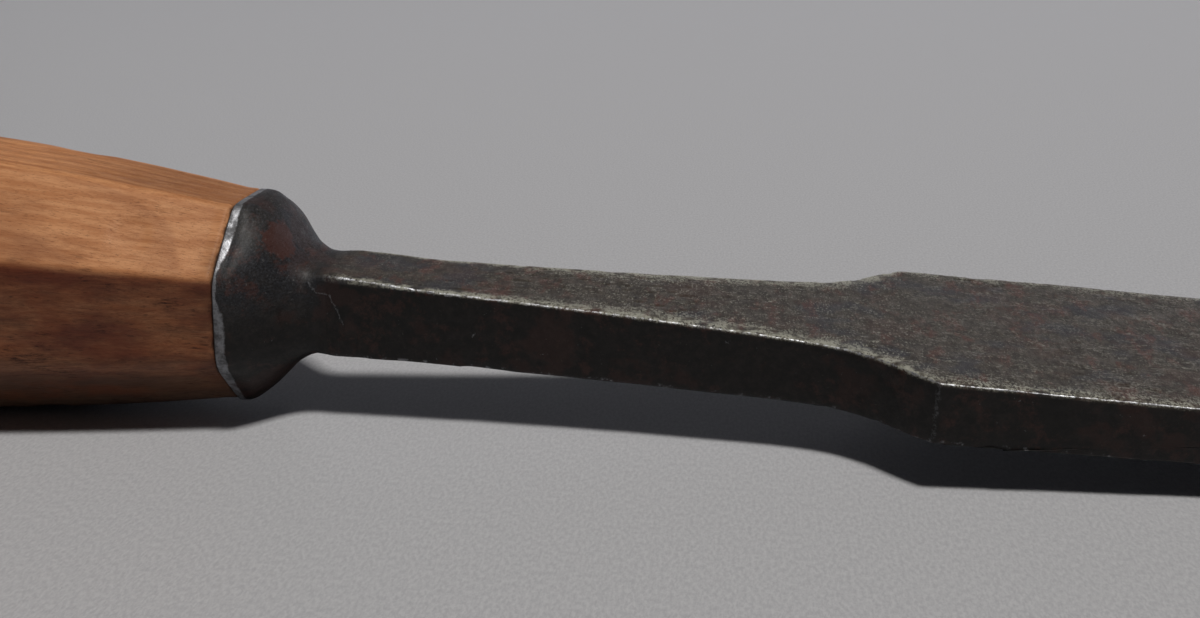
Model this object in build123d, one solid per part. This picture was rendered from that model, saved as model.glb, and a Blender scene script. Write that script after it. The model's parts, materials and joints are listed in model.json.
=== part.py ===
from build123d import *
import math
import os

# Tanged bench chisel with an octagonal wooden handle, lying bevel up on a flat surface.
#
# Three pieces, as on the real tool:
#   iron_forging  the wrought iron body: tang, bolster, neck and blade, forged in one
#   steel_facing  the hard steel layer forge-welded to the flat back, which makes the cutting edge
#   wood_handle   the octagonal handle, driven on to the tang until it seats on the bolster
#
# Each piece is drawn in the tool's own frame: +X along the tang towards the cutting edge, +Z up, the
# origin where the handle seats on the bolster. laid_down() then puts it in the row frame, where the
# tool rests on z = 0 on the belly of its handle and on its cutting edge. Millimetres throughout.

# ---- blade -------------------------------------------------------------------------------------
BLADE_WIDTH = 31.75          # a 1 1/4 inch chisel
SHOULDER_X = 61.5            # where the neck reaches the full width of the blade
EDGE_X = 138.0               # the cutting edge: a blade of about 3 inches is left of a longer one
SHOULDER_TOP = 2.57          # top face above the axis at the shoulder
TOP_FALL = 0.0162            # how much the top face falls for each millimetre towards the edge
SHOULDER_BOTTOM = -2.66      # flat back below the axis at the shoulder
BACK_RISE = 0.0096           # how much the flat back rises for each millimetre towards the edge
BEVEL_ANGLE = 25.0           # the ground bevel
HONED_ANGLE = 30.0           # the narrow honed bevel at the edge
HONED_LENGTH = 0.7

# ---- neck --------------------------------------------------------------------------------------
NECK_START_X = 7.0           # inside the bolster's flare
NECK_BOTTOM = -3.85
NECK_SIDE = ((NECK_START_X, 4.5), (30.0, 6.0), (50.5, 8.7))   # x and half width: start, middle, end

# ---- bolster: x, then half size upwards, downwards and sideways, then corner chamfer -------------
COLLAR_HALF = 9.4            # half the size across the octagon's flats
COLLAR_LENGTH = 1.1
BOLSTER_SECTIONS = (
    (1.9, 9.15, 9.15, 9.15, 5.2),
    (3.5, 7.75, 7.70, 7.80, 4.0),
    (5.2, 5.85, 5.85, 6.10, 2.2),
    (6.6, 4.40, 4.75, 5.05, 1.1),
    (8.2, 3.60, 4.00, 4.60, 0.5),
    (11.0, 3.30, 3.70, 4.55, 0.4),
)

# ---- tang --------------------------------------------------------------------------------------
TANG_LENGTH = 62.0
TANG_ROOT = 8.4              # side of the square at the bolster
TANG_TIP = 3.4
TANG_POINT = 5.0             # length of the blunt point
TANG_POINT_SIDE = 1.2

# ---- steel facing --------------------------------------------------------------------------------
FACING_THICKNESS = 1.45
FACING_START_X = 67.0        # the weld's scarf begins here
FACING_SCARF = 14.0          # length over which the facing comes to full thickness

# ---- handle --------------------------------------------------------------------------------------
HANDLE_LENGTH = 127.0
HANDLE_FRONT_HALF = 9.3      # half the size across the flats at the bolster
BELLY_X = -48.0              # the thickest place
BELLY_HALF = 13.25
BUTT_HALF = 10.6             # across the flats at the butt, if its end were not domed
BUTT_DOME_RADIUS = 19.0
BUTT_FLAT_RADIUS = 5.5       # the flat that the mallet has worn on the dome
HOLE_CLEARANCE = 1.5         # air beyond the point of the tang

OCTAGON_SIDE = math.tan(math.radians(22.5))   # half a side of an octagon whose inradius is 1
WIDE = 60.0                                   # larger than any section, for cutting shapes


def top_z(x):
    """Height of the flat top face of neck and blade."""
    return SHOULDER_TOP - TOP_FALL * (x - SHOULDER_X)


def back_z(x):
    """Height of the flat back of the blade."""
    return SHOULDER_BOTTOM + BACK_RISE * (x - SHOULDER_X)


def arc_radius(run, rise):
    """Radius of an arc that starts level and moves sideways by rise over run."""
    return (run**2 + rise**2) / (2 * rise)


def bevel_points():
    """The start of the ground bevel and the start of the honed bevel, as (x, z)."""
    honed_x = EDGE_X - HONED_LENGTH
    honed_z = back_z(EDGE_X) + HONED_LENGTH * math.tan(math.radians(HONED_ANGLE))
    slope = math.tan(math.radians(BEVEL_ANGLE))
    bevel_x = honed_x - (top_z(honed_x) - honed_z) / (slope + TOP_FALL)
    return (bevel_x, top_z(bevel_x)), (honed_x, honed_z)


def rest_angle():
    """Angle in degrees between the axis and the surface that belly and cutting edge both touch."""
    front_run = -BELLY_X
    radius = arc_radius(front_run, BELLY_HALF - HANDLE_FRONT_HALF)
    to_edge = EDGE_X - BELLY_X
    above_edge = radius - BELLY_HALF - back_z(EDGE_X)
    distance = math.hypot(to_edge, above_edge)
    return math.degrees(math.asin(radius / distance) - math.atan2(above_edge, to_edge))


def octagon(x, up, down, side, chamfer):
    """A rectangle with chamfered corners, square to the axis at x."""
    points = []
    for y_sign, z_size, z_sign in ((1, up, 1), (-1, up, 1), (-1, down, -1), (1, down, -1)):
        level = (x, y_sign * (side - chamfer), z_sign * z_size)
        upright = (x, y_sign * side, z_sign * (z_size - chamfer))
        points += [upright, level] if y_sign == z_sign else [level, upright]
    return Face(Wire.make_polygon([Vector(*p) for p in points], close=True))


def square(x, side):
    """A square section of the tang at x."""
    half = side / 2
    corners = ((half, half), (-half, half), (-half, -half), (half, -half))
    return Face(Wire.make_polygon([Vector(x, y, z) for y, z in corners], close=True))


def side_slab(points):
    """The solid as wide as WIDE whose outline, seen from the side, is these (x, z) points."""
    wire = Wire.make_polygon([Vector(x, -WIDE / 2, z) for x, z in points], close=True)
    return Solid.extrude(Face(wire), Vector(0, WIDE, 0))


# ---- the forging -----------------------------------------------------------------------------------
def tang(extra=0.0):
    """The tapered square spike. extra lengthens its blunt point, for the hole in the handle."""
    point_x = TANG_POINT - TANG_LENGTH
    root = square(0, TANG_ROOT)
    shoulder = square(point_x, TANG_TIP)
    tip = square(-TANG_LENGTH - extra, TANG_TIP if extra else TANG_POINT_SIDE)
    taper = Solid.make_loft([root.outer_wire(), shoulder.outer_wire()], True)
    point = Solid.make_loft([shoulder.outer_wire(), tip.outer_wire()], True)
    return taper + point


def bolster():
    """The octagonal collar and the flare that runs down into the neck."""
    chamfer = COLLAR_HALF * (1 - OCTAGON_SIDE)
    rim = octagon(0, COLLAR_HALF, COLLAR_HALF, COLLAR_HALF, chamfer)
    collar = Solid.extrude(rim, Vector(COLLAR_LENGTH, 0, 0))
    start = octagon(COLLAR_LENGTH, COLLAR_HALF, COLLAR_HALF, COLLAR_HALF, chamfer)
    sections = [start] + [octagon(*section) for section in BOLSTER_SECTIONS]
    flare = Solid.make_loft([s.outer_wire() for s in sections], True)
    return collar + flare


def plan_outline():
    """Neck and blade from above: a neck that widens in a slow curve, hollow shoulders, parallel sides."""
    half = BLADE_WIDTH / 2
    end_x = EDGE_X + 1
    neck = ThreePointArc(*NECK_SIDE)
    shoulder = TangentArc(neck @ 1, (SHOULDER_X, half), tangent=neck % 1)
    one_side = Curve() + [neck, shoulder, Line(shoulder @ 1, (end_x, half))]
    start_half = NECK_SIDE[0][1]
    ends = [
        Line((NECK_START_X, start_half), (NECK_START_X, -start_half)),
        Line((end_x, half), (end_x, -half)),
    ]
    return make_face(one_side + mirror(one_side, Plane.XZ) + ends).face()


def neck_and_blade():
    """The plan outline cut to the side profile, with the bevel on top."""
    bevel, honed = bevel_points()
    profile = [
        (NECK_START_X, top_z(NECK_START_X)),
        bevel,
        honed,
        (EDGE_X, back_z(EDGE_X)),
        (SHOULDER_X, back_z(SHOULDER_X)),
        (NECK_START_X, NECK_BOTTOM),
    ]
    plan = Solid.extrude(plan_outline().move(Location((0, 0, -WIDE / 2))), Vector(0, 0, WIDE))
    return plan & side_slab(profile)


def facing_region():
    """Everything below the weld between the iron and the steel facing."""
    full_x = FACING_START_X + FACING_SCARF
    end_x = EDGE_X + 1
    return side_slab([
        (FACING_START_X, back_z(FACING_START_X)),
        (full_x, back_z(full_x) + FACING_THICKNESS),
        (end_x, back_z(end_x) + FACING_THICKNESS),
        (end_x, -WIDE / 2),
        (FACING_START_X, -WIDE / 2),
    ])


def iron_forging():
    return (bolster() + neck_and_blade() + tang()) - facing_region()


def steel_facing():
    return neck_and_blade() & facing_region()


# ---- the handle ------------------------------------------------------------------------------------
def barrel_slab():
    """The handle's lengthwise profile, as wide as WIDE. Four of these, turned, make the octagon."""
    front_rise = BELLY_HALF - HANDLE_FRONT_HALF
    front_radius = arc_radius(-BELLY_X, front_rise)
    back_radius = arc_radius(HANDLE_LENGTH + BELLY_X, BELLY_HALF - BUTT_HALF)
    middle_front, middle_back = BELLY_X / 2, (BELLY_X - HANDLE_LENGTH) / 2

    def on_arc(x, radius):
        return BELLY_HALF - radius + math.sqrt(radius**2 - (x - BELLY_X) ** 2)

    edges = []
    for sign in (1, -1):
        edges += [
            ThreePointArc(
                (0, sign * HANDLE_FRONT_HALF),
                (middle_front, sign * on_arc(middle_front, front_radius)),
                (BELLY_X, sign * BELLY_HALF),
            ),
            ThreePointArc(
                (BELLY_X, sign * BELLY_HALF),
                (middle_back, sign * on_arc(middle_back, back_radius)),
                (-HANDLE_LENGTH, sign * BUTT_HALF),
            ),
        ]
    edges.append(Line((0, HANDLE_FRONT_HALF), (0, -HANDLE_FRONT_HALF)))
    edges.append(Line((-HANDLE_LENGTH, BUTT_HALF), (-HANDLE_LENGTH, -BUTT_HALF)))
    outline = make_face(Curve() + edges).face()
    upright = Plane.XZ.location * outline
    return Solid.extrude(upright.move(Location((0, WIDE / 2, 0))), Vector(0, -WIDE, 0))


def butt_dome():
    """A round-ended bar on the axis that domes the butt and leaves the mallet's flat on it."""
    sink = BUTT_DOME_RADIUS - math.sqrt(BUTT_DOME_RADIUS**2 - BUTT_FLAT_RADIUS**2)
    centre = -HANDLE_LENGTH - sink + BUTT_DOME_RADIUS
    ball = Pos(centre, 0, 0) * Sphere(BUTT_DOME_RADIUS)
    bar = Pos(centre, 0, 0) * Rot(0, 90, 0) * Cylinder(
        BUTT_DOME_RADIUS, HANDLE_LENGTH, align=(Align.CENTER, Align.CENTER, Align.MIN)
    )
    return ball + bar


def wood_handle():
    body = barrel_slab()
    for turn in (45, 90, 135):
        body = body & Rot(turn, 0, 0) * barrel_slab()
    return (body & butt_dome()) - tang(extra=HOLE_CLEARANCE)


# ---- placing and writing -----------------------------------------------------------------------------
def rest_location():
    """Turns the tool on to its resting points and centres its box above the origin."""
    angle = rest_angle()
    tilt = math.radians(angle)
    lift = EDGE_X * math.sin(tilt) - back_z(EDGE_X) * math.cos(tilt)
    butt_x = -HANDLE_LENGTH * math.cos(tilt) - BUTT_FLAT_RADIUS * math.sin(tilt)
    edge_x = EDGE_X * math.cos(tilt) + back_z(EDGE_X) * math.sin(tilt)
    return Pos(-(butt_x + edge_x) / 2, 0, lift) * Rot(0, angle, 0)


def laid_down(shape):
    return rest_location() * shape


PIECES = {
    "iron_forging": iron_forging,
    "steel_facing": steel_facing,
    "wood_handle": wood_handle,
}


def main():
    os.makedirs("parts", exist_ok=True)
    for name, make in PIECES.items():
        export_step(laid_down(make()), f"parts/{name}.step")
    print(f"rests at {rest_angle():.2f} degrees to the surface")


if __name__ == "__main__":
    main()
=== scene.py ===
import bpy
import json
import math
import numpy as np
from mathutils import Matrix, Vector


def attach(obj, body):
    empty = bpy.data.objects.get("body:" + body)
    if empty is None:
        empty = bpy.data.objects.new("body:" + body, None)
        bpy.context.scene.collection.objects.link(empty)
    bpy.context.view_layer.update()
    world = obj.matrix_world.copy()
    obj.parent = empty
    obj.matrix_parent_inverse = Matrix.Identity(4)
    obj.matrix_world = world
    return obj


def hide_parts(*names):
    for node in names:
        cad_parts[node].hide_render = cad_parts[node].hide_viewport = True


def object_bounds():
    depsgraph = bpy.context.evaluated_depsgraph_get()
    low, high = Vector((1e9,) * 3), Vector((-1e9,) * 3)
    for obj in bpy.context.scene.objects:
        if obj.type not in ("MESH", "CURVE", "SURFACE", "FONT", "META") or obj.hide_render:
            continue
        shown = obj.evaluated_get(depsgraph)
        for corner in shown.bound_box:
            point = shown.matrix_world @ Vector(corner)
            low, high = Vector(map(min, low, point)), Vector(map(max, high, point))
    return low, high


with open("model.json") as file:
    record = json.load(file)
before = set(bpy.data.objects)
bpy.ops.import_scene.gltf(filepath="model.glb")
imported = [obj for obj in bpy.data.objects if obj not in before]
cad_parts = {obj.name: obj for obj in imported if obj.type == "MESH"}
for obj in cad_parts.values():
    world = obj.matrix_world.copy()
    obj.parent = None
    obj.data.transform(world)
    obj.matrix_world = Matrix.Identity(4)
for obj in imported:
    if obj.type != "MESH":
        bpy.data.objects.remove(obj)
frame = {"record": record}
cad_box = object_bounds()

# The looks of a hand-forged bench chisel. Every piece is drawn in the tool's own frame, in
# millimetres: +X along the tang towards the cutting edge, +Z up, the origin where the handle seats
# on the bolster. tool_matrix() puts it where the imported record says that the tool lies.

# ---- sizes of the forging, mm ------------------------------------------------------------------
TANG_LENGTH = 62.0
TANG_ROOT = 8.4
TANG_TIP = 3.4
TANG_POINT = 5.0
TANG_POINT_SIDE = 1.2
SHOULDER_X = 61.5
EDGE_X = 138.0
BLADE_HALF_WIDTH = 15.8
SHOULDER_TOP, TOP_FALL = 2.57, 0.0162
SHOULDER_BOTTOM, BACK_RISE = -2.66, 0.0096
NECK_START_X, NECK_START_BOTTOM = 11.0, -3.79
NECK_SAG = 0.16                    # how far the neck's underside hangs below a straight line
BEVEL_ANGLE, HONED_ANGLE, HONED_LENGTH = 25.0, 30.0, 0.7
FACING_THICKNESS, FACING_START_X, FACING_SCARF = 1.45, 67.0, 14.0

# Sections of bolster and neck: x, then half size upwards, downwards and sideways, corner chamfer.
FORGED_SECTIONS = (
    (0.00, 9.22, 9.30, 9.20, 5.36),
    (0.18, 9.48, 9.56, 9.46, 5.53),
    (0.80, 9.47, 9.53, 9.44, 5.53),
    (1.40, 9.42, 9.36, 9.34, 5.38),
    (2.20, 9.20, 8.94, 9.00, 5.00),
    (2.90, 8.78, 8.30, 8.44, 4.46),
    (3.60, 8.06, 7.52, 7.72, 3.72),
    (4.60, 6.36, 6.40, 6.66, 2.60),
    (5.60, 5.00, 5.46, 5.70, 1.66),
    (7.00, 4.16, 4.60, 4.95, 0.90),
    (8.50, 3.88, 4.14, 4.62, 0.50),
    (11.0, 3.76, 4.00, 4.66, 0.42),
)
NECK_WIDTHS = (                    # x and half width, from the bolster to the shoulder
    (8.5, 4.55), (14.0, 4.85), (24.0, 5.50), (33.0, 6.30), (42.0, 7.42),
    (51.0, 8.78), (54.5, 9.85), (57.3, 11.65), (59.8, 14.20), (61.5, BLADE_HALF_WIDTH),
)

# How wide the bright rim round the bolster is, by the angle in degrees from the top, positive towards +Y.
RIM_WIDTHS = (
    (-180, 0.80), (-150, 0.75), (-118, 1.05), (-92, 1.00), (-78, 0.65), (-67, 0.36), (-52, 0.80),
    (-35, 0.95), (-18, 0.75), (20, 0.70), (45, 0.90), (67, 0.50), (100, 0.95), (140, 0.70), (180, 0.80),
)
RUST_PATCH = (3.9, -3.3, 6.4)      # the middle of the large old rust stain on the bolster
DEEP_PITS = ((6.0, 1.3, 0.5), (5.5, 0.3, 0.7), (6.6, -0.4, 0.4))    # x, z and size of old hammer marks
# A fold that the hammer closed on the bolster's -Y side, as x and z along its line.
COLD_SHUT = ((7.1, 3.0), (7.8, 2.1), (9.1, 1.9), (9.6, 0.8), (10.3, -0.7))

# ---- sizes of the handle, mm ---------------------------------------------------------------------
HANDLE_LENGTH = 127.0
HANDLE_FRONT_HALF = 9.3
BELLY_X = -48.0
BELLY_HALF = 13.25
BUTT_HALF = 10.6
BUTT_DOME_RADIUS = 19.0
BUTT_FLAT_RADIUS = 5.5
HOLE_CLEARANCE = 1.5

# ---- the camera, in degrees, metres and the tool's own millimetres -------------------------------
CAMERA_TURN, CAMERA_RISE, CAMERA_ROLL = 7.061, 17.804, -1.131
CAMERA_DISTANCE = 0.119
CAMERA_TARGET = (33.08, 0, 1.162)
CAMERA_LENS, CAMERA_SENSOR = 38.97, 36.0
CAMERA_NEAREST = 0.005

CROWDING = 0.7                     # how much a section's points draw together at its corners
FLOOR_REACH = 12.0                 # metres from the tool to the floor's edge


# ---- numbers -------------------------------------------------------------------------------------
def step(low, high, x):
    """0 below low, 1 above high and a smooth rise between."""
    t = np.clip((np.asarray(x, float) - low) / (high - low), 0, 1)
    return t * t * (3 - 2 * t)


def curve(x, points, column=1):
    """A smooth curve through points, which never overshoots them. Each point starts with its x."""
    xs = np.array([p[0] for p in points], float)
    ys = np.array([p[column] for p in points], float)
    gaps = np.diff(xs)
    slopes = np.diff(ys) / gaps
    inner = np.where(slopes[:-1] * slopes[1:] > 0, 2 * slopes[:-1] * slopes[1:], 0)
    inner = inner / np.where(inner == 0, 1, slopes[:-1] + slopes[1:])
    tangents = np.concatenate([slopes[:1], inner, slopes[-1:]])
    i = np.clip(np.searchsorted(xs, x, side="right") - 1, 0, len(gaps) - 1)
    t = np.clip((x - xs[i]) / gaps[i], 0, 1)
    rise = ys[i + 1] - ys[i]
    start, end = tangents[i] * gaps[i], tangents[i + 1] * gaps[i]
    return ys[i] + t * (start + t * (3 * rise - 2 * start - end + t * (start + end - 2 * rise)))


def lattice(i, j, k, seed):
    """A repeatable number from -1 to 1 for each whole-number place."""
    mask = 0xFFFFFFFF
    h = (i * 73856093 ^ j * 19349663 ^ k * 83492791 ^ seed * 2654435761) & mask
    h = ((h ^ h >> 15) * 2246822519) & mask
    h = ((h ^ h >> 13) * 3266489917) & mask
    return (h >> 8) / 0x7FFFFF - 1


def noise(points, size, seed, stretch=(1, 1, 1)):
    """Smooth bumps from -1 to 1, about size millimetres apart, in space."""
    places = np.asarray(points, float) / (np.array(stretch, float) * size) + 100.5
    whole = np.floor(places).astype(np.int64)
    part = places - whole
    fade = part**3 * (part * (part * 6 - 15) + 10)
    total = 0
    for a in (0, 1):
        for b in (0, 1):
            for c in (0, 1):
                weight = 1
                for axis, corner in enumerate((a, b, c)):
                    share = fade[..., axis]
                    weight = weight * (share if corner else 1 - share)
                corner_place = [whole[..., n] + d for n, d in enumerate((a, b, c))]
                total = total + weight * lattice(*corner_place, seed)
    return total


def fractal(points, size, seed, octaves=3, stretch=(1, 1, 1)):
    """Bumps on bumps, each half as large and half as high as the last."""
    return sum(noise(points, size / 2**n, seed + n, stretch) / 2**n for n in range(octaves))


# ---- meshes ----------------------------------------------------------------------------------------
def tool_matrix():
    """Takes the tool's own millimetres to the row frame's metres."""
    butt = next(m for m in frame["record"]["mounts"] if m["name"] == "butt_face")
    along = -Vector(butt["axis"])
    across = Vector((0, 1, 0))
    upwards = along.cross(across)
    origin = Vector(butt["pos_m"]) + along * HANDLE_LENGTH / 1000
    matrix = Matrix.Identity(4)
    for column, vector in enumerate((along, across, upwards)):
        for row in range(3):
            matrix[row][column] = vector[row] / 1000
    matrix.translation = origin
    return matrix


def spans(*ends_and_steps):
    """Places along a line: start, then pairs of an end and the spacing on the way to it."""
    places = [np.array([ends_and_steps[0]], float)]
    for end, spacing in zip(ends_and_steps[1::2], ends_and_steps[2::2]):
        start = places[-1][-1]
        count = max(1, round(abs(end - start) / spacing))
        places.append(np.linspace(start, end, count + 1)[1:])
    return np.concatenate(places)


def crowded(count):
    """Shares from 0 to 1 that lie closer together towards both ends."""
    t = np.arange(count) / count
    return t - CROWDING * np.sin(2 * np.pi * t) / (2 * np.pi)


def section(up, down, side, top_cut, low_cut, counts, bulge):
    """Rings of a rectangle with cut corners, as (y, z), clockwise when seen from the cutting edge.

    All but counts have one value for each ring. bulge turns a straight cut, 0, into a round corner, 1.
    counts says how many points the top, a side, the bottom and a corner have.
    """
    top, upright, bottom, corner = counts
    sizes = (up, down, side, top_cut, low_cut, bulge)
    up, down, side, top_cut, low_cut, bulge = (np.asarray(v, float)[:, None] for v in sizes)
    rings = []

    def flat(start, end, count):
        t = crowded(count)[None, :]
        rings.append(np.stack([a + (b - a) * t for a, b in zip(start, end)], axis=-1))

    def corner_turn(y_sign, z_sign, size, cut, falling):
        t = np.arange(corner)[None, :] / corner
        angle = t * np.pi / 2
        line, curved = (1 - t, t), (np.cos(angle), np.sin(angle))
        sideways, upright_share = [s * (1 - bulge) + c * bulge for s, c in zip(line, curved)]
        if falling:
            sideways, upright_share = upright_share, sideways
        y = y_sign * (side - cut + cut * sideways)
        z = z_sign * (size - cut + cut * upright_share)
        rings.append(np.stack([y, z], axis=-1))

    flat((top_cut - side, up), (side - top_cut, up), top)
    corner_turn(1, 1, up, top_cut, True)
    flat((side, up - top_cut), (side, low_cut - down), upright)
    corner_turn(1, -1, down, low_cut, False)
    flat((side - low_cut, -down), (low_cut - side, -down), bottom)
    corner_turn(-1, -1, down, low_cut, True)
    flat((-side, low_cut - down), (-side, up - top_cut), upright)
    corner_turn(-1, 1, up, top_cut, False)
    return np.concatenate(rings, axis=1)


def octagon_radius(angles, distances, sharpness, *more):
    """Distance from the axis to a softened octagon. angles start at the top and run clockwise.

    distances are how far off the eight facets are, in the same order, with a value for each ring. more
    are other surfaces that cut the octagon off, as distances of their own.
    """
    total = 0
    for number, distance in enumerate(distances):
        share = np.maximum(np.cos(angles - number * np.pi / 4), 0) / distance[:, None]
        total = total + share**sharpness
    for distance in more:
        total = total + (1 / distance[:, None]) ** sharpness
    return total ** (-1 / sharpness)


def grid(places, rings):
    """Points in space, ring by ring, from places along the tool and rings of (y, z)."""
    x = np.broadcast_to(np.asarray(places, float)[:, None], rings.shape[:2])
    return np.stack([x, rings[..., 0], rings[..., 1]], axis=-1)


def outward(points):
    """Unit normals of a grid of rings, which run clockwise when seen from the cutting edge."""
    along = np.gradient(points, axis=0)
    around = np.roll(points, -1, axis=1) - np.roll(points, 1, axis=1)
    normals = np.cross(along, around)
    length = np.linalg.norm(normals, axis=-1, keepdims=True)
    return normals / np.maximum(length, 1e-9)


def ring_mesh(name, points, marks):
    """A closed mesh of rings with a flat cap on both ends. marks are numbers for its materials."""
    ring_count, around = points.shape[:2]
    vertices = points.reshape(-1, 3)
    index = np.arange(ring_count * around).reshape(ring_count, around)
    following = np.roll(index, -1, axis=1)
    quads = np.stack([index[:-1], index[1:], following[1:], following[:-1]], axis=-1).reshape(-1, 4)
    caps = [list(map(int, index[0])), list(map(int, index[-1][::-1]))]
    mesh = bpy.data.meshes.new(name)
    lifted = np.c_[vertices, np.ones(len(vertices))] @ np.array(tool_matrix()).T
    inside = np.clip(lifted[:, :3], np.array(cad_box[0]), np.array(cad_box[1]))
    mesh.from_pydata(inside.tolist(), [], quads.tolist() + caps)
    store(mesh, "tool", "FLOAT_VECTOR", vertices)
    for mark, values in marks.items():
        store(mesh, mark, "FLOAT", np.broadcast_to(values, points.shape[:2]))
    mesh.shade_smooth()
    mesh.update()
    piece = bpy.data.objects.new(name, mesh)
    bpy.context.scene.collection.objects.link(piece)
    return piece


def store(mesh, name, kind, values):
    """Keeps one value for each vertex, for the materials to read."""
    key = "vector" if kind == "FLOAT_VECTOR" else "value"
    attribute = mesh.attributes.new(name, kind, "POINT")
    attribute.data.foreach_set(key, np.ascontiguousarray(values, np.float32).ravel())


# ---- the forging -----------------------------------------------------------------------------------
def top_z(x):
    return SHOULDER_TOP - TOP_FALL * (x - SHOULDER_X)


def back_z(x):
    return SHOULDER_BOTTOM + BACK_RISE * (x - SHOULDER_X)


def neck_bottom(x):
    """Height of the neck's underside, which sags a little between bolster and shoulder."""
    t = np.clip((x - NECK_START_X) / (SHOULDER_X - NECK_START_X), 0, 1)
    straight = NECK_START_BOTTOM + t * (SHOULDER_BOTTOM - NECK_START_BOTTOM)
    return np.where(x < SHOULDER_X, straight - 4 * NECK_SAG * t * (1 - t), back_z(x))


def weld_z(x):
    """Height of the weld between the iron and its steel facing."""
    return back_z(x) + FACING_THICKNESS * np.clip((x - FACING_START_X) / FACING_SCARF, 0, 1)


def ground_z(x):
    """Height of the blade's top face, the ground bevel and the honed bevel."""
    honed_x = EDGE_X - HONED_LENGTH
    honed_z = back_z(EDGE_X) + (EDGE_X - x) * math.tan(math.radians(HONED_ANGLE))
    start_z = back_z(EDGE_X) + HONED_LENGTH * math.tan(math.radians(HONED_ANGLE))
    bevel_z = start_z + (honed_x - x) * math.tan(math.radians(BEVEL_ANGLE))
    return np.minimum(top_z(x), np.minimum(bevel_z, honed_z))


def crossing(height):
    """Where the bevel comes down to height(x), found by halving."""
    low, high = SHOULDER_X, EDGE_X
    for _ in range(60):
        middle = (low + high) / 2
        if float(ground_z(middle)) < float(height(middle)) - 1e-6:
            high = middle
        else:
            low = middle
    return low


def forging():
    """Tang, bolster, neck and blade, one piece of wrought iron."""
    counts = (88, 26, 24, 12)
    bevel_x, feather_x = crossing(top_z), crossing(weld_z)
    places = spans(
        0, 0.18, 0.06, 1.3, 0.08, 12, 0.13, 56, 0.34, 63, 0.16, 100, 0.45,
        bevel_x - 1, 0.6, bevel_x + 1, 0.2, feather_x - 0.02, 0.3,
    )
    up, down, side, chamfer = (curve(places, FORGED_SECTIONS, column) for column in (1, 2, 3, 4))
    neck = step(9.0, 19.0, places)
    up = up * (1 - neck) + np.minimum(top_z(places), ground_z(places)) * neck
    down = down * (1 - neck) - np.where(places < FACING_START_X, neck_bottom(places), weld_z(places)) * neck
    side = np.where(places < 8.5, side, curve(places, NECK_WIDTHS))
    top_cut = np.where(places < 11, chamfer, 0.34 - 0.12 * step(40, 70, places))
    low_cut = np.where(places < 11, chamfer, 0.30 - 0.28 * step(FACING_START_X - 12, FACING_START_X, places))
    limit = np.maximum((up + down) * 0.3, 0.003)
    top_cut, low_cut = np.minimum(top_cut, limit), np.minimum(low_cut, limit)
    rings = section(up, down, side, top_cut, low_cut, counts, step(4, 8, places))
    outer_down = np.where(places < FACING_START_X, down, -back_z(places))
    marks = edge_marks(places, rings, up, outer_down, side)
    # The bolster's arrises are filed round, and fade out on the way down to the neck.
    diagonals = [(side + size - chamfer) / math.sqrt(2) for size in (up, down)]
    facets = (up, diagonals[0], side, diagonals[1], down, diagonals[1], side, diagonals[0])
    sharpness = 26 - 15 * step(0.9, 2.4, places)[:, None] - 3 * step(2, 5, places)[:, None]
    radius = octagon_radius(np.arctan2(rings[..., 0], rings[..., 1]), facets, sharpness)
    soft = rings * (radius / np.hypot(rings[..., 0], rings[..., 1]))[..., None]
    share = (1 - step(6.5, 9.5, places))[:, None, None]
    points = grid(places, soft * share + rings * (1 - share))
    points = points + outward(points) * forged_relief(points, marks)[..., None]
    # The tang and the bolster's back face, from the point of the tang outwards.
    tang_x = np.array([-TANG_LENGTH, TANG_POINT - TANG_LENGTH, -40.0, -20.0, 0.0])
    tang_half = np.interp(tang_x, tang_x[[0, 1, 4]], np.array([TANG_POINT_SIDE, TANG_TIP, TANG_ROOT]) / 2)
    small = np.full(5, 0.05)
    tang_rings = section(tang_half, tang_half, tang_half, small, small, counts, np.zeros(5))
    tang_points = grid(tang_x, tang_rings)
    back = tang_points[-1:] + (points[:1] - tang_points[-1:]) * np.array([0.5, 0.9])[:, None, None]
    hidden = np.concatenate([tang_points, back])
    unmarked = {"top_edge": 9.0, "low_edge": 9.0, "ground": 0.0, "rim_width": 0.0}
    for name, value in unmarked.items():
        marks[name] = np.concatenate([np.full(hidden.shape[:2], value), marks[name]])
    return ring_mesh("forged_body", np.concatenate([hidden, points]), marks)


def edge_marks(places, rings, up, down, side):
    """How far each point is from the top and bottom arris, if it lies on the bevel, and the rim's width."""
    y, z = np.abs(rings[..., 0]) - side[:, None], rings[..., 1]
    bolster = 4 * (1 - step(5.0, 9.0, places))[:, None]
    top = np.hypot(y, z - up[:, None]) + bolster
    low = np.hypot(y, z + down[:, None]) + bolster
    bevelled = step(0.02, 0.12, top_z(places) - ground_z(places))[:, None]
    ground = bevelled * step(-0.3, -0.1, z - ground_z(places)[:, None])
    angles = np.degrees(np.arctan2(rings[..., 0], z)) + 5 * noise(rings[..., [0, 1, 1]], 4.0, 41)
    return {"top_edge": top, "low_edge": low, "ground": ground, "rim_width": curve(angles, RIM_WIDTHS)}


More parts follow.
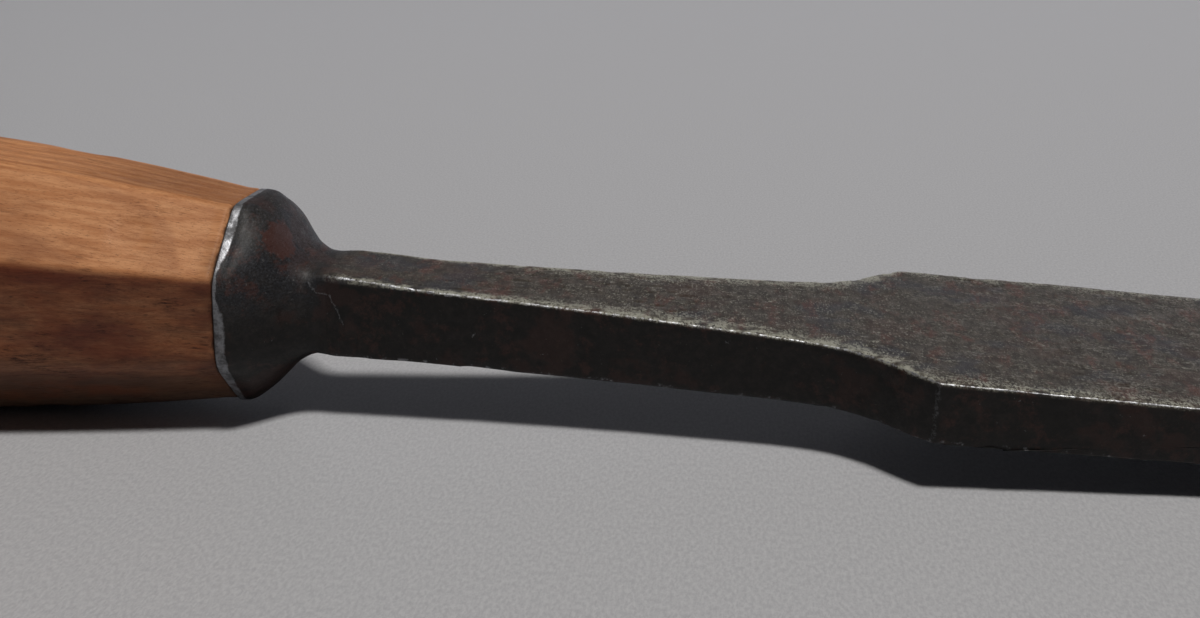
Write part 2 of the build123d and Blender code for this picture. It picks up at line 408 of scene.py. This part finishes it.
def forged_relief(points, marks):
    """Outward shift of the forged surface: hammer waves, scale pits, worn and nicked arrises."""
    x, y, z = points[..., 0], points[..., 1], points[..., 2]
    waves = 0.040 * noise(points, 9.0, 11) + 0.024 * noise(points, 3.6, 12)
    grain = 0.010 * fractal(points, 1.0, 13, 3)
    pits = -0.05 * step(0.42, 0.72, noise(points, 0.7, 21)) * step(-0.3, 0.5, noise(points, 6, 22))
    top, low = (np.exp(-((marks[name] / 0.5) ** 2)) for name in ("top_edge", "low_edge"))
    worn = -0.045 * top * (1 + noise(points, 3.0, 31)) - 0.03 * low
    nicks = -0.10 * top * step(0.62, 0.9, noise(points, 1.7, 32))
    nicks = nicks - 0.12 * low * step(0.5, 0.85, noise(points, 2.1, 33))
    gap = np.min([line_gap(x, z, start, end) for start, end in zip(COLD_SHUT, COLD_SHUT[1:])], axis=0)
    fold = 0.06 * np.exp(-((gap / 0.2) ** 2)) * step(2, 3, -y)
    for pit_x, pit_z, size in DEEP_PITS:
        off = np.hypot(x - pit_x, 0.8 * (z - pit_z)) + 0.25 * noise(points, 0.8, 42)
        pits = pits - 0.16 * (1 - step(0.3 * size, size, off)) * step(2, 3, -y)
    shift = waves + grain + pits + worn + nicks + fold - 0.02
    return shift * step(0.0, 1.2, x) * (1 - 0.92 * marks["ground"])


def line_gap(x, z, start, end):
    """Distance, seen from the side, from each point to a straight line between two places."""
    run, rise = end[0] - start[0], end[1] - start[1]
    along = np.clip(((x - start[0]) * run + (z - start[1]) * rise) / (run**2 + rise**2), 0, 1)
    return np.hypot(x - start[0] - along * run, z - start[1] - along * rise)


def facing():
    """The hard steel layer on the flat back of the blade, which makes the cutting edge."""
    counts = (20, 6, 60, 6)
    feather_x = crossing(weld_z)
    places = spans(
        FACING_START_X, 68, 0.25, 82, 0.6, feather_x, 0.6, EDGE_X - HONED_LENGTH, 0.3, EDGE_X - 0.01, 0.1,
    )
    upper = np.minimum(weld_z(places), ground_z(places))
    lower = back_z(places)
    upper = np.maximum(upper, lower + 0.004)
    side = np.full_like(places, BLADE_HALF_WIDTH)
    low_cut = np.minimum(0.25, (upper - lower) * 0.3)
    rings = section(upper, -lower, side, low_cut * 0.08, low_cut, counts, np.ones_like(places))
    marks = edge_marks(places, rings, top_z(places), -lower, side)
    points = grid(places, rings)
    below = step(0.0, 0.25, (upper[:, None] - points[..., 2]) / (upper - lower)[:, None])
    on_side = step(BLADE_HALF_WIDTH - 0.3, BLADE_HALF_WIDTH - 0.05, np.abs(points[..., 1]))
    sharp = 1 - step(EDGE_X - 7, EDGE_X - 1, points[..., 0])
    relief = forged_relief(points, marks) * np.maximum(below, on_side) * sharp
    points = points + outward(points) * relief[..., None]
    return ring_mesh("steel_back", points, marks)


# ---- the handle --------------------------------------------------------------------------------------
def handle_half(x):
    """Half the handle's size across its flats: two arcs that meet, level, at the belly."""
    front = arc_radius(-BELLY_X, BELLY_HALF - HANDLE_FRONT_HALF)
    rear = arc_radius(HANDLE_LENGTH + BELLY_X, BELLY_HALF - BUTT_HALF)
    radius = np.where(x > BELLY_X, front, rear)
    return BELLY_HALF - radius + np.sqrt(radius**2 - (x - BELLY_X) ** 2)


def arc_radius(run, rise):
    return (run**2 + rise**2) / (2 * rise)


def handle():
    """The octagonal handle, with the tapered hole that the tang is driven into."""
    around = 208
    angles = np.arange(around)[None, :] * 2 * np.pi / around
    dome_sink = BUTT_DOME_RADIUS - math.sqrt(BUTT_DOME_RADIUS**2 - BUTT_FLAT_RADIUS**2)
    dome_x = BUTT_DOME_RADIUS - HANDLE_LENGTH - dome_sink
    places = spans(-HANDLE_LENGTH, -122, 0.25, -80, 0.7, -26, 0.4, -1.5, 0.3, 0, 0.12)
    half = handle_half(places)
    dome = np.sqrt(np.maximum(BUTT_DOME_RADIUS**2 - np.minimum(places - dome_x, 0) ** 2, 0.01))
    # The lower arrises are worn rounder than those that face up.
    roundness = 56 - 28 * step(90, 120, np.degrees(np.abs(np.angle(np.exp(1j * angles)))))
    radius = octagon_radius(angles, [half] * 8, roundness, dome)
    radius = radius - 0.22 * step(-0.6, 0, places)[:, None] ** 2
    # Rings run clockwise when seen from the cutting edge, as the forging's do.
    points = grid(places, np.stack([radius * np.sin(angles), radius * np.cos(angles)], axis=-1))
    end = step(0.35, 0.7, -outward(points)[..., 0]) * step(-115, -121, points[..., 0])
    points = points + outward(points) * worn_relief(points, end)[..., None]
    # The butt's flat, from its middle outwards.
    shares = np.array([0.02, 0.2, 0.4, 0.6, 0.8, 0.93])[:, None, None]
    middle = np.array([-HANDLE_LENGTH, 0, 0])
    butt = middle + (points[:1] - middle) * shares
    # The hole, from its mouth inwards.
    hole_x = np.array([0.0, TANG_POINT - TANG_LENGTH, -TANG_LENGTH - HOLE_CLEARANCE])
    hole_half = np.array([TANG_ROOT, TANG_TIP, TANG_TIP]) / 2
    square = np.maximum(np.abs(np.sin(angles)), np.abs(np.cos(angles)))
    hole_radius = hole_half[:, None] / square
    hole = grid(hole_x, np.stack([hole_radius * np.sin(angles), hole_radius * np.cos(angles)], axis=-1))
    mouth = points[-1:] + (hole[:1] - points[-1:]) * np.array([0.2, 0.6])[:, None, None]
    rows = [np.ones(butt.shape[:2]), end, np.zeros(mouth.shape[:2]), np.zeros(hole.shape[:2])]
    whole = np.concatenate([butt, points, mouth, hole])
    return ring_mesh("octagonal_handle", whole, {"end": np.concatenate(rows), "facet": facet_shares(whole)})


def worn_relief(points, end):
    """Outward shift of the wood: waves left by the spokeshave, raised grain, dents and bruised arrises."""
    x = points[..., 0]
    waves = 0.07 * noise(points, 14, 51, (2.5, 1, 1)) + 0.03 * noise(points, 4, 52, (4, 1, 1))
    grain = 0.010 * fractal(points, 0.7, 53, 2, (14, 1, 1)) * (1 - end)
    dents = -0.12 * step(0.6, 0.9, noise(points, 3.2, 54, (1.6, 1, 1)))
    struck = -0.22 * end * step(0.1, 0.8, noise(points, 2.6, 55))
    return (waves + grain + dents + struck - 0.09) * (1 - step(-1.5, 0, x))


def facet_shares(points):
    """Which way a point's facet faces: 1 for up, 0.75 for slanting up, 0.5 for the side, down to 0."""
    wander = 0.03 * noise(points, 12, 61, (2, 1, 1))
    angles = np.arctan2(np.abs(points[..., 1]), points[..., 2]) + wander
    turns = angles / (np.pi / 4)
    whole = np.floor(turns + 0.5)
    part = turns + 0.5 - whole
    softness = 0.12 + 0.28 * step(2.2, 2.8, turns)
    softened = whole - 0.5 * (1 - step(0, 1, part / softness)) + 0.5 * (1 - step(0, 1, (1 - part) / softness))
    return 1 - softened / 4


# ---- materials ---------------------------------------------------------------------------------------
class Paint:
    """Builds one material's nodes with short calls. A value is a number, a colour or a socket."""

    def __init__(self, name):
        self.material = bpy.data.materials.new(name)
        self.material.use_nodes = True
        self.tree = self.material.node_tree
        self.shader = self.tree.nodes["Principled BSDF"]
        self.tool = self.mark("tool", "Vector")

    def node(self, kind, inputs, output=0, **settings):
        made = self.tree.nodes.new("ShaderNode" + kind)
        for key, value in settings.items():
            setattr(made, key, value)
        for key, value in inputs.items():
            self.put(value, made.inputs[key])
        return made.outputs[output]

    def put(self, value, socket):
        if isinstance(value, bpy.types.NodeSocket):
            self.tree.links.new(value, socket)
        elif isinstance(value, tuple) and socket.type == "RGBA":
            socket.default_value = (*value, 1)
        else:
            socket.default_value = value

    def mark(self, name, output="Fac"):
        return self.node("Attribute", {}, output, attribute_name=name)

    def maths(self, operation, a, b=0.0):
        return self.node("Math", {0: a, 1: b}, operation=operation)

    def add(self, a, b):
        return self.maths("ADD", a, b)

    def times(self, a, b):
        return self.maths("MULTIPLY", a, b)

    def part(self, axis):
        """The place's part along 'X', 'Y' or 'Z', in the tool's own millimetres."""
        return self.node("SeparateXYZ", {0: self.tool}, axis)

    def scaled(self, factors, vector=None):
        return self.node("VectorMath", {0: vector or self.tool, 1: factors}, operation="MULTIPLY")

    def moved(self, offset):
        return self.node("VectorMath", {0: self.tool, 1: offset}, operation="ADD")

    def noise(self, scale, detail=3.0, roughness=0.55, vector=None):
        inputs = {"Vector": vector or self.tool, "Scale": scale, "Detail": detail, "Roughness": roughness}
        return self.node("TexNoise", inputs)

    def cells(self, scale):
        """Distance to the nearest of many scattered dots."""
        return self.node("TexVoronoi", {"Vector": self.tool, "Scale": scale}, "Distance")

    def band(self, value, low, high, start=0.0, end=1.0):
        """A smooth change from start to end as value goes from low to high."""
        inputs = {"Value": value, "From Min": low, "From Max": high, "To Min": start, "To Max": end}
        return self.node("MapRange", inputs, interpolation_type="SMOOTHSTEP")

    def line_gap(self, x, z, start, end):
        """Distance, seen from the side, to a straight line between two places."""
        run, rise = end[0] - start[0], end[1] - start[1]
        off_x, off_z = self.add(x, -start[0]), self.add(z, -start[1])
        length = run**2 + rise**2
        along = self.add(self.times(off_x, run / length), self.times(off_z, rise / length))
        along = self.node("Clamp", {"Value": along})
        gap_x = self.add(off_x, self.times(along, -run))
        gap_z = self.add(off_z, self.times(along, -rise))
        return self.maths("SQRT", self.add(self.times(gap_x, gap_x), self.times(gap_z, gap_z)))

    def mix(self, share, a, b):
        """Colour b over colour a."""
        return self.node("Mix", {0: share, 6: a, 7: b}, 2, data_type="RGBA")

    def blend(self, share, a, b):
        """Number b over number a."""
        return self.node("Mix", {0: share, 2: a, 3: b}, 0, data_type="FLOAT")

    def bump(self, height, distance, strength):
        return self.node("Bump", {"Height": height, "Distance": distance, "Strength": strength})

    def finish(self, **values):
        for key, value in values.items():
            self.put(value, self.shader.inputs[key.replace("_", " ")])
        return self.material


def rgb(red, green, blue):
    """A colour as a screen shows it, 0 to 255, turned to the linear values that shaders use."""
    return tuple(c / 3294.6 if c <= 10 else ((c / 255 + 0.055) / 1.055) ** 2.4 for c in (red, green, blue))


def forged_skin(p, dark, stained, top_sheen_grey):
    """What iron and steel share: scale, old rust, pale specks, worn arrises, and a painted sheen that makes
    the top faces lighter than the sides.
    """
    x, y, z = (p.part(axis) for axis in "XYZ")
    cloud = p.noise(0.16, 3, 0.6)
    mottle = p.noise(1.2, 8, 0.8, p.scaled((1, 0.45, 1)))
    fine = p.noise(5.2, 4, 0.8, p.scaled((1, 0.5, 1)))
    level = p.band(p.add(z, p.times(x, TOP_FALL)), 3.1, 3.45)
    flare = p.times(p.band(z, -2, 4.5), p.band(x, 10, 6))
    # Painted sheen: the top faces, and at half strength the upper bolster, are painted a lighter, bluer grey
    # than the dark sides. The same mask also sets where rust and pale specks gather.
    top_sheen_and_wear = p.maths("MAXIMUM", p.times(level, p.band(x, 6, 10)), p.times(flare, 0.5))
    deep = p.mix(top_sheen_and_wear, dark, tuple(0.42 * c for c in top_sheen_grey))
    colour = p.mix(p.band(mottle, 0.40, 0.66), deep, p.mix(top_sheen_and_wear, stained, top_sheen_grey))
    colour = p.mix(p.times(p.band(cloud, 0.52, 0.64), 0.6), colour, p.mix(top_sheen_and_wear, dark, rgb(48, 50, 58)))
    # Bluish flecks over the upper bolster: real flecking in the scale, brightened as a painted sheen.
    flecked_sheen = p.mix(p.band(fine, 0.44, 0.58), rgb(30, 31, 36), rgb(64, 67, 75))
    colour = p.mix(p.times(flare, 0.5), colour, flecked_sheen)
    squeezed = p.scaled((1, 0.5, 1), p.moved((31, 7, 3)))
    rust = p.times(p.band(p.noise(0.42, 5, 0.7, squeezed), 0.52, 0.62), p.band(mottle, 0.38, 0.56))
    from_patch = p.moved([-part for part in RUST_PATCH])
    patch = p.node("VectorMath", {0: p.scaled((0.5, 0.8, 1.1), from_patch)}, "Value", operation="LENGTH")
    patch = p.band(p.add(patch, p.times(p.noise(0.9, 5, 0.65), 3.4)), 3.7, 3.2)
    wide_rust = p.band(p.noise(0.2, 4, 0.6, p.moved((12, 3, 9))), 0.52, 0.60)
    rust = p.maths("MAXIMUM", p.times(rust, p.blend(top_sheen_and_wear, 0.24, 0.66)), p.times(wide_rust, 0.16))
    colour = p.mix(p.maths("MAXIMUM", rust, p.times(patch, 0.6)), colour, rgb(88, 50, 41))
    streaks = p.noise(1.0, 5, 0.75, p.scaled((0.5, 3.4, 3.4)))
    blade = p.band(x, SHOULDER_X - 2, SHOULDER_X + 1)
    near = p.band(p.mark("top_edge"), p.band(x, 14, 38, 1.3, 3.6), 0.3)
    near = p.times(near, p.times(level, p.band(x, 6, 13)))
    lift = p.add(p.times(near, p.blend(blade, 0.11, 0.06)), p.times(top_sheen_and_wear, 0.07))
    speck = p.band(p.add(p.blend(0.3, fine, streaks), lift), 0.61, 0.66)
    speck = p.times(speck, p.band(p.noise(0.8, 3, 0.6, p.moved((5, 19, 2))), 0.32, 0.56))
    usual = p.blend(blade, p.band(x, 16, 36, 0.3, 0.75), 0.45)
    speck = p.times(speck, p.blend(top_sheen_and_wear, 0.15, p.maths("MAXIMUM", near, usual)))
    colour = p.mix(p.times(speck, 0.9), colour, rgb(172, 172, 160))
    colour = p.mix(p.times(p.band(fine, 0.42, 0.36), 0.5), colour, dark)
    scores = p.maths("ABSOLUTE", p.add(p.noise(1.0, 4, 0.7, p.scaled((0.2, 0.55, 1))), -0.5))
    scored = p.times(p.times(level, blade), p.band(p.noise(0.35, 2), 0.42, 0.58))
    scores = p.times(p.band(scores, 0.020, 0.004), scored)
    scores = p.times(scores, p.band(fine, 0.38, 0.55))
    colour = p.mix(p.times(scores, 0.6), colour, rgb(150, 149, 140))
    # The top arris is rubbed bright: in broken patches on the neck, in an even thin line on the blade.
    broken = p.noise(1.9, 6, 0.8)
    wander = p.times(p.add(broken, -0.5), p.blend(blade, p.band(x, 20, 45, 1.4, 0.9), 0.5))
    line = p.band(p.add(p.mark("top_edge"), wander), p.blend(blade, p.band(x, 20, 45, 0.27, 0.2), 0.17), 0.05)
    line = p.times(line, p.maths("MAXIMUM", p.band(fine, 0.34, 0.50), p.times(blade, 0.7)))
    nicks = p.times(p.band(p.mark("low_edge"), 0.5, 0.12), p.band(p.noise(0.9, 6, 0.8), 0.54, 0.64))
    struck = p.band(p.noise(1.1, 6, 0.8, p.moved((17, 2, 5))), 0.66, 0.70)
    nicks = p.maths("MAXIMUM", nicks, p.times(struck, 0.6))
    corner = p.maths("ABSOLUTE", p.add(p.add(x, -SHOULDER_X), p.times(p.add(broken, -0.5), 0.8)))
    corner = p.times(p.band(corner, 0.22, 0.06), p.band(p.maths("ABSOLUTE", y), 15.0, 15.3))
    nicks = p.maths("MAXIMUM", nicks, p.times(corner, p.band(p.noise(3.2, 4, 0.8), 0.42, 0.72, 0, 0.4)))
    uneven = p.times(p.add(p.noise(0.8, 4, 0.7, p.moved((4, 6, 1))), -0.5), 0.7)
    inner = p.add(p.add(x, uneven), p.times(p.mark("rim_width"), -1))
    rim = p.times(p.band(inner, 0.10, -0.10), p.band(x, 0.14, 0.26))
    rim = p.times(rim, p.band(p.noise(0.9, 6, 0.75, p.moved((9, 3, 8))), 0.36, 0.62, 0.2, 0.95))
    # The rubbed rim is drawn at half strength on its lower part: real wear, painted brighter on top as a
    # highlight.
    rim = p.times(rim, p.band(z, 0.5, 3.5, 0.5, 1.0))
    crooked_x = p.add(x, p.times(p.add(broken, -0.5), 0.9))
    crooked_z = p.add(z, p.times(p.add(mottle, -0.5), 0.9))
    gaps = [p.line_gap(crooked_x, crooked_z, start, end) for start, end in zip(COLD_SHUT, COLD_SHUT[1:])]
    gap = gaps[0]
    for another in gaps[1:]:
        gap = p.maths("MINIMUM", gap, another)
    fold = p.times(p.times(p.band(gap, 0.10, 0.03), p.band(y, -2, -3)), p.band(fine, 0.4, 0.6))
    worn = p.maths("MAXIMUM", line, p.maths("MAXIMUM", p.times(nicks, 0.5), rim))
    worn = p.maths("MAXIMUM", worn, p.times(fold, 0.25))
    colour = p.mix(worn, colour, rgb(186, 188, 194))
    colour = p.mix(p.band(x, 0.2, 0.08), colour, rgb(16, 13, 11))
    rough = p.blend(worn, p.band(mottle, 0.3, 0.7, 0.58, 0.46), 0.36)
    height = p.add(p.times(mottle, 0.5), p.add(p.times(fine, 0.4), p.times(p.noise(14, 2), 0.1)))
    return colour, worn, rough, height


def ground_finish(p, colour, metal, rough, height, scratched, tint):
    """Bare metal ground with fine scratches along the tool, where scratched is 1."""
    scratches = p.noise(1.0, 3, 0.7, p.scaled((0.35, 22, 22)))
    spots = p.band(p.noise(1.3, 5, 0.7, p.moved((3, 40, 12))), 0.62, 0.70)
    bare = p.mix(p.band(scratches, 0.3, 0.7), tint, tuple(0.6 * c for c in tint))
    bare = p.mix(p.times(spots, 0.75), bare, rgb(70, 46, 36))
    colour = p.mix(scratched, colour, bare)
    metal = p.blend(scratched, metal, p.band(spots, 0, 1, 1.0, 0.25))
    rough = p.blend(scratched, rough, p.band(scratches, 0.3, 0.7, 0.24, 0.40))
    height = p.blend(scratched, height, p.times(scratches, 0.35))
    normal = p.bump(height, 0.00006, 0.9)
    return p.finish(
        Base_Color=colour, Metallic=metal, Roughness=rough, Normal=normal, Specular_IOR_Level=0.35,
    )


def iron_material():
    p = Paint("forged_iron")
    skin = forged_skin(p, rgb(14, 12, 11), rgb(31, 25, 23), rgb(82, 75, 67))
    return ground_finish(p, *skin, p.mark("ground"), rgb(176, 174, 170))


def steel_material():
    p = Paint("edge_steel")
    skin = forged_skin(p, rgb(14, 12, 12), rgb(30, 25, 24), rgb(81, 75, 68))
    x, z = p.part("X"), p.part("Z")
    # The back is kept flat on a stone, most of all near the cutting edge.
    back_at_0 = SHOULDER_BOTTOM - BACK_RISE * SHOULDER_X
    back = p.band(p.add(z, p.times(x, -BACK_RISE)), back_at_0 + 0.3, back_at_0 + 0.12)
    honed = p.band(p.add(x, p.times(p.noise(0.2, 3), 30)), EDGE_X - 26, EDGE_X - 2)
    scratched = p.maths("MAXIMUM", p.mark("ground"), p.times(back, honed))
    return ground_finish(p, *skin, scratched, rgb(196, 197, 198))


def wood_material():
    p = Paint("handle_wood")
    x, y, z = (p.part(axis) for axis in "XYZ")
    facet, end = p.mark("facet"), p.mark("end")
    # Growth rings round a pith that lies outside the handle, wandering slowly along it.
    drift = p.times(p.noise(1.0, 2, 0.5, p.scaled((0.02, 0.05, 0.05))), 9)
    off_y, off_z = p.add(y, 34), p.add(z, -22)
    from_pith = p.maths("SQRT", p.add(p.times(off_y, off_y), p.times(off_z, off_z)))
    rings = p.maths("FRACT", p.times(p.add(from_pith, drift), 0.62))
    late = p.times(p.band(rings, 0.35, 0.9), p.band(rings, 1.0, 0.9))
    streaks = p.noise(1.0, 4, 0.65, p.scaled((0.10, 1.6, 1.6)))
    grain = p.noise(1.0, 4, 0.7, p.scaled((0.30, 6.5, 6.5)))
    pores = p.noise(1.0, 2, 0.6, p.scaled((0.9, 17, 17)))
    blotch = p.noise(0.16, 4, 0.62, p.scaled((0.5, 1, 1)))
    pale, tan, brown = rgb(222, 160, 112), rgb(194, 130, 84), rgb(136, 81, 51)
    colour = p.mix(p.band(streaks, 0.32, 0.66), pale, tan)
    colour = p.mix(p.times(late, 0.24), colour, brown)
    colour = p.mix(p.times(p.band(grain, 0.50, 0.72), 0.45), colour, brown)
    colour = p.mix(p.times(p.band(pores, 0.58, 0.70), 0.55), colour, rgb(92, 50, 30))
    colour = p.mix(p.times(p.band(blotch, 0.50, 0.78), 0.5), colour, rgb(126, 72, 44))
    # The sides and the underside are painted darker: partly stain from hands and age, partly painted shade.
    # Grime lies in hollows and at the seam.
    side_shade_and_stain = p.band(facet, 0.66, 0.58)
    held = p.noise(0.11, 5, 0.7, p.scaled((0.55, 1, 1.5)))
    colour = p.mix(p.times(side_shade_and_stain, p.band(held, 0.36, 0.62, 0.58, 0.92)), colour, rgb(90, 43, 36))
    below_arris = p.times(side_shade_and_stain, p.band(z, 1.0, 5.0))
    colour = p.mix(p.times(below_arris, 0.35), colour, rgb(104, 44, 26))
    # Painted shade on the lower facets, with some dirt: a dark greyish brown, a little lighter on the very
    # bottom.
    painted_underside_shade = p.band(p.add(facet, p.times(blotch, 0.2)), 0.52, 0.30)
    underside_shade_colour = p.mix(p.band(facet, 0.3, 0.1), rgb(82, 62, 50), rgb(112, 92, 78))
    colour = p.mix(p.times(painted_underside_shade, 0.85), colour, underside_shade_colour)
    smudge = p.band(p.noise(0.42, 6, 0.75, p.scaled((0.5, 1, 1))), 0.54, 0.68)
    smudge = p.times(smudge, p.band(grain, 0.40, 0.6))
    colour = p.mix(p.times(smudge, p.blend(side_shade_and_stain, 0.35, 0.75)), colour, rgb(44, 29, 23))
    ticks = p.times(p.band(p.noise(1.0, 3, 0.7, p.scaled((0.5, 4.5, 4.5))), 0.58, 0.70), side_shade_and_stain)
    colour = p.mix(p.times(ticks, 0.6), colour, rgb(40, 25, 21))
    fibres = p.band(p.noise(1.0, 4, 0.8, p.scaled((0.16, 3.0, 3.0))), 0.40, 0.62)
    colour = p.mix(p.times(p.times(fibres, side_shade_and_stain), 0.28), colour, rgb(46, 26, 22))
    warm = p.times(p.band(p.noise(0.3, 3, 0.6, p.scaled((0.6, 1, 1))), 0.5, 0.66), side_shade_and_stain)
    colour = p.mix(p.times(warm, 0.25), colour, rgb(132, 68, 40))
    hollow = p.times(p.band(facet, 0.92, 0.99), p.band(x, -22, -6))
    colour = p.mix(p.times(hollow, 0.4), colour, rgb(96, 58, 36))
    seam = p.band(p.add(x, p.times(p.add(p.noise(0.45, 3), -0.5), 0.8)), -0.22, 0.0)
    colour = p.mix(p.times(seam, 0.85), colour, rgb(24, 16, 12))
    grime = p.times(p.band(x, -2.6, -0.2), p.band(blotch, 0.38, 0.6))
    colour = p.mix(p.times(grime, 0.45), colour, rgb(58, 38, 28))
    # End grain on the butt: the same rings, cut across, with open pores.
    dots = p.cells(3.2)
    end_colour = p.mix(late, rgb(150, 98, 62), rgb(92, 54, 34))
    end_colour = p.mix(p.times(p.band(dots, 0.16, 0.06), 0.8), end_colour, rgb(40, 24, 18))
    end_colour = p.mix(p.band(blotch, 0.4, 0.7), end_colour, rgb(70, 44, 32))
    colour = p.mix(end, colour, end_colour)
    rough = p.band(p.add(grain, p.times(smudge, 0.3)), 0.3, 0.8, 0.46, 0.64)
    height = p.add(p.times(grain, 0.35), p.add(p.times(pores, -0.45), p.times(streaks, 0.3)))
    height = p.blend(end, height, p.band(dots, 0.06, 0.16))
    normal = p.bump(height, 0.00005, 0.7)
    return p.finish(Base_Color=colour, Roughness=rough, Normal=normal, Specular_IOR_Level=0.22)


def floor_material():
    p = Paint("pale_paper")
    place = p.node("NewGeometry", {}, "Position")
    fibre = p.noise(3600, 3, 0.75, p.scaled((1, 0.45, 1), place))
    felt = p.noise(420, 3, 0.6, place)
    paper = p.mix(p.band(fibre, 0.3, 0.7), rgb(182, 183, 188), rgb(202, 203, 207))
    flecks = p.band(p.noise(1300, 4, 0.8, p.scaled((1, 0.5, 1), place)), 0.66, 0.74)
    colour = p.mix(p.times(flecks, 0.35), paper, rgb(134, 132, 132))
    height = p.add(fibre, p.times(felt, 0.8))
    return p.finish(Base_Color=colour, Roughness=0.42, Normal=p.bump(height, 0.00002, 0.7))


# ---- the studio ----------------------------------------------------------------------------------------
def studio():
    """A flat sheet of pale paper, a soft lamp high over the tool, and weaker light from behind."""
    mesh = bpy.data.meshes.new("floor")
    signs = ((-1, -1), (1, -1), (1, 1), (-1, 1))
    corners = [(x_sign * FLOOR_REACH, y_sign * FLOOR_REACH, 0) for x_sign, y_sign in signs]
    mesh.from_pydata(corners, [], [(0, 1, 2, 3)])
    floor = bpy.data.objects.new("floor", mesh)
    mesh.materials.append(floor_material())
    bpy.context.scene.collection.objects.link(floor)
    world = bpy.data.worlds.new("studio")
    world.use_nodes = True
    background = world.node_tree.nodes["Background"]
    background.inputs["Color"].default_value = (*rgb(235, 235, 238), 1)
    background.inputs["Strength"].default_value = 0.022
    bpy.context.scene.world = world
    lamp("key", (0.7, -0.85, 3.8), (0.7, 0.7), (0, 0, 0), 105.0, rgb(255, 251, 245))
    lamp("back_panel", (0.3, 3.0, 0.50), (5.0, 0.9), (0, 0, 0.1), 7.0, rgb(243, 244, 255))
    lamp("low_panel", (0.3, 2.9, 0.16), (5.0, 0.24), (0, 0, 0.1), 3.6, rgb(232, 237, 255))


def lamp(name, place, size, target, power, colour):
    """A rectangular area lamp that points at target and that the camera doesn't see."""
    data = bpy.data.lights.new(name, "AREA")
    data.shape = "RECTANGLE"
    data.size, data.size_y = size
    data.energy = power
    data.color = colour
    made = bpy.data.objects.new(name, data)
    made.location = place
    made.rotation_euler = (Vector(target) - Vector(place)).to_track_quat("-Z", "Y").to_euler()
    made.visible_camera = False
    bpy.context.scene.collection.objects.link(made)


def camera():
    """The camera looks at the neck, from a little above and nearly square to the tool."""
    turn, rise, roll = (math.radians(angle) for angle in (CAMERA_TURN, CAMERA_RISE, CAMERA_ROLL))
    target = tool_matrix() @ Vector(CAMERA_TARGET)
    back = Vector((math.sin(turn) * math.cos(rise), -math.cos(turn) * math.cos(rise), math.sin(rise)))
    data = bpy.data.cameras.new("camera")
    data.sensor_width = CAMERA_SENSOR
    data.lens = CAMERA_LENS
    data.clip_start = CAMERA_NEAREST
    made = bpy.data.objects.new("camera", data)
    made.matrix_world = (
        Matrix.Translation(target + back * CAMERA_DISTANCE)
        @ (-back).to_track_quat("-Z", "Y").to_matrix().to_4x4()
        @ Matrix.Rotation(roll, 4, "Z")
    )
    bpy.context.scene.collection.objects.link(made)
    bpy.context.scene.camera = made


# ---- putting it together ---------------------------------------------------------------------------------
PIECES = (
    (forging, iron_material, "iron_forging", "forged_iron"),
    (facing, steel_material, "steel_facing", "edge_steel"),
    (handle, wood_material, "wood_handle", "handle_wood"),
)
for make, paint, node, slot in PIECES:
    piece = make()
    piece.data.materials.append(paint())
    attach(piece, "root")
    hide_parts(node)
studio()
camera()
bpy.context.scene.view_settings.view_transform = "Standard"
